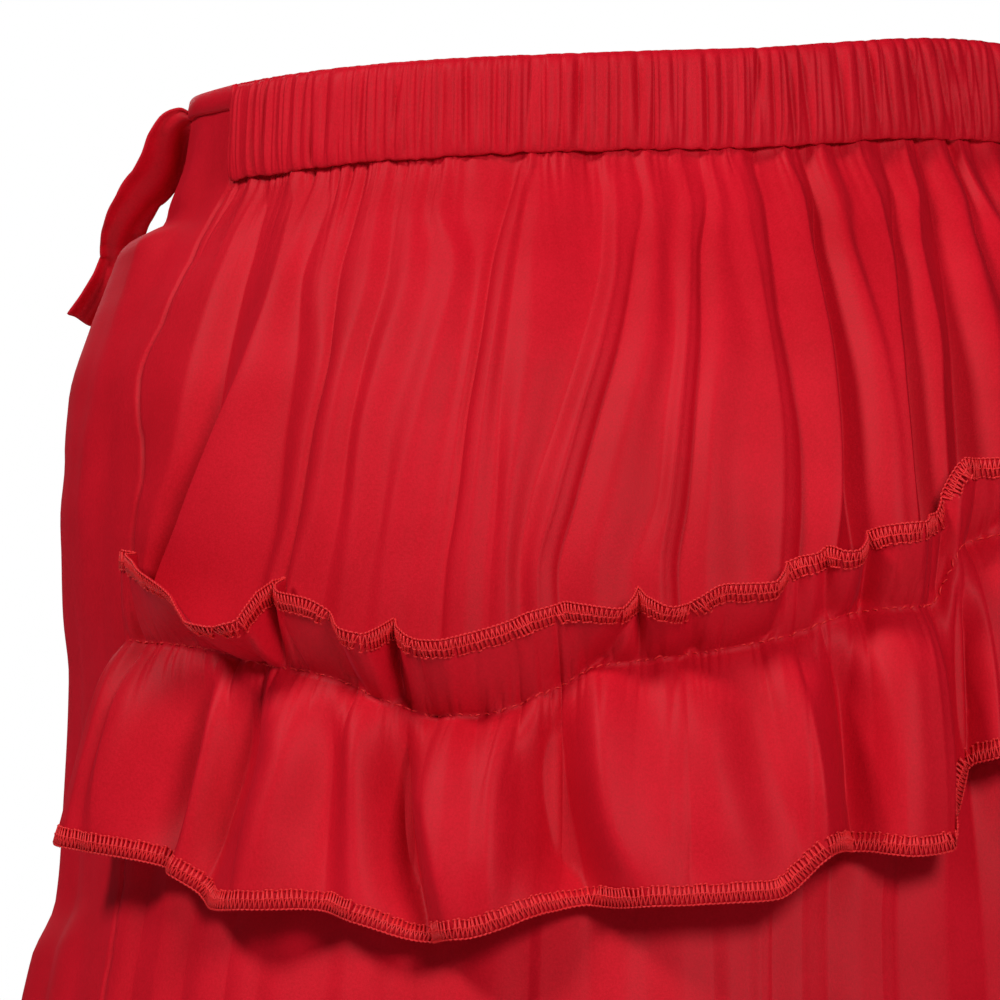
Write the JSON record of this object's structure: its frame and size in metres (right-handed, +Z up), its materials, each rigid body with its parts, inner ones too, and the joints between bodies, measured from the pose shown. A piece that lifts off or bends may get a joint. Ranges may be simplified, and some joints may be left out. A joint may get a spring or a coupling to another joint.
{
  "type": "gathered maxi skirt with back ruffle",
  "caption": "Hollow worn maxi skirt with an elastic casing and gathers behind, a flat front, a ruffle across the back and side ties.",
  "frame": {"origin": "centre of the waist opening, level with the casing's top edge behind the wearer's left", "axes": "+Z up; -Y is the wearer's front; +X is the wearer's left"},
  "size_m": [0.6104, 0.566, 0.961],
  "materials": {
    "cloth": "soft low-sheen twill"
  },
  "bodies": {
    "root": {"waistband_back": "cloth", "waistband_front": "cloth", "back_panel": "cloth", "front_panel": "cloth", "ruffle": "cloth", "tie_left": "cloth", "tie_right": "cloth"}
  },
  "joints": []
}
